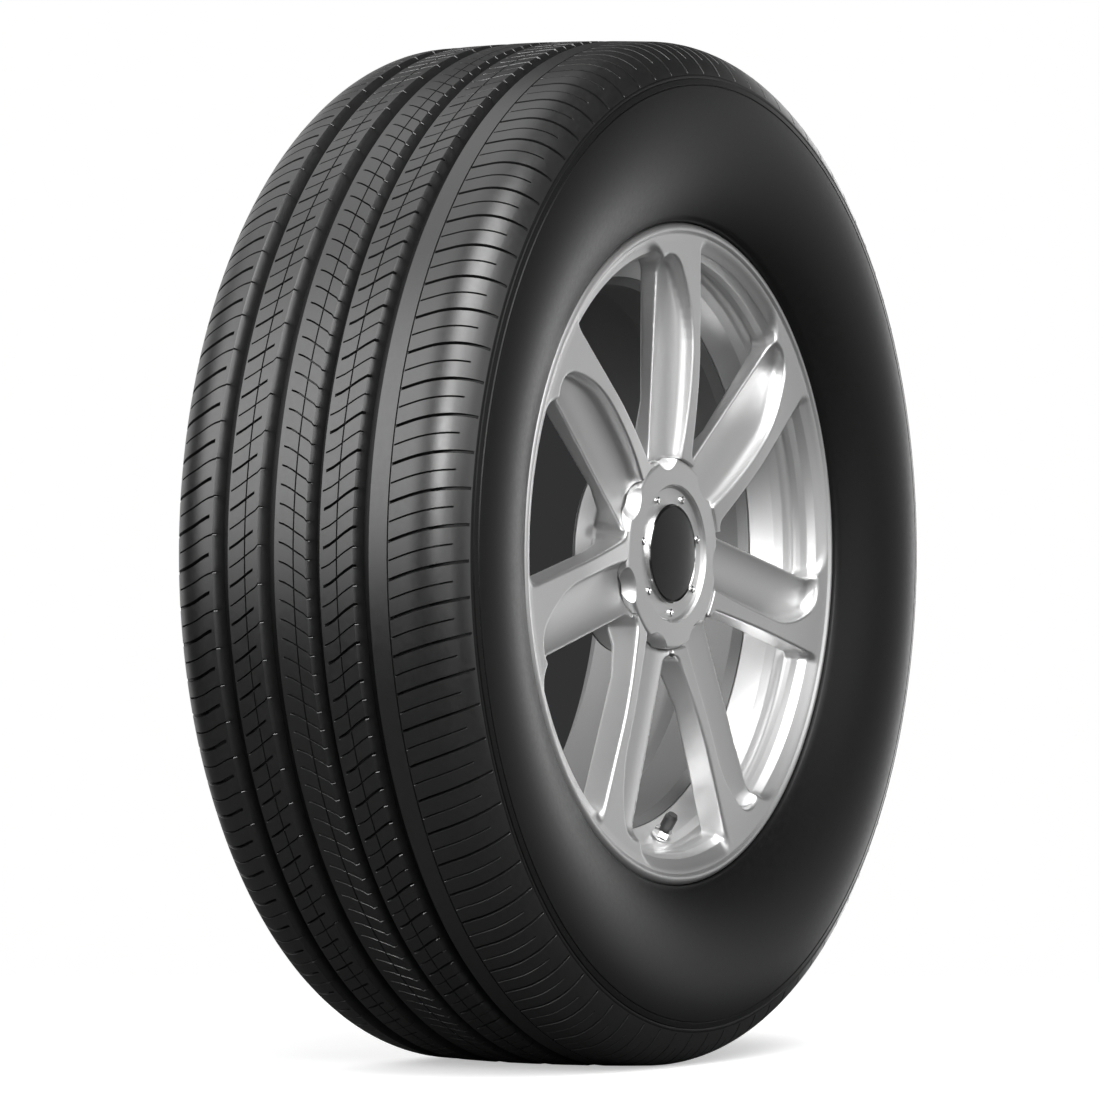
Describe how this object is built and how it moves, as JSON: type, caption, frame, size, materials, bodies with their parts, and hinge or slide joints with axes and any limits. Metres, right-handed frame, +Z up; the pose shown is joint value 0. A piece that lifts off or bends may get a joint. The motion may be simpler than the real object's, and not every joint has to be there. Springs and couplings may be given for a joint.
{
  "type": "car tyre on an alloy wheel",
  "caption": "Upright road tyre with a grooved and slit tread, on a seven-spoke cast alloy wheel with a round hub cover and a metal valve.",
  "frame": {"origin": "centre of the wheel: where the spin axis crosses the tyre's middle plane", "axes": "+Y along the spin axis, towards the car (inboard); the wheel's face looks to -Y; +Z up, away from the flat spot it stands on"},
  "size_m": [0.732, 0.238, 0.73],
  "materials": {
    "tyre_rubber": "matte moulded rubber",
    "silver_paint": "silver metallic lacquer",
    "black_gloss": "gloss black",
    "bright_metal": "bright plated",
    "black_plastic": "matte black",
    "seal_rubber": "matte",
    "brass": "machined",
    "steel": "drawn wire"
  },
  "bodies": {
    "root": {"tyre": "tyre_rubber", "alloy_wheel": "silver_paint", "hub_cover": "silver_paint", "cover_carrier": "black_plastic", "carrier_spring": "steel", "disc_bezel": "bright_metal", "centre_disc": "black_gloss", "cover_screw_1": "bright_metal", "cover_screw_2": "bright_metal", "cover_screw_3": "bright_metal", "cover_screw_4": "bright_metal", "cover_screw_5": "bright_metal", "cover_screw_6": "bright_metal", "cover_screw_7": "bright_metal", "valve_stem": "black_plastic", "valve_grommet": "seal_rubber", "valve_washer": "bright_metal", "valve_nut": "bright_metal", "valve_core": "brass", "valve_core_pin": "brass", "valve_cap": "black_plastic", "valve_cap_seal": "seal_rubber"}
  },
  "joints": []
}
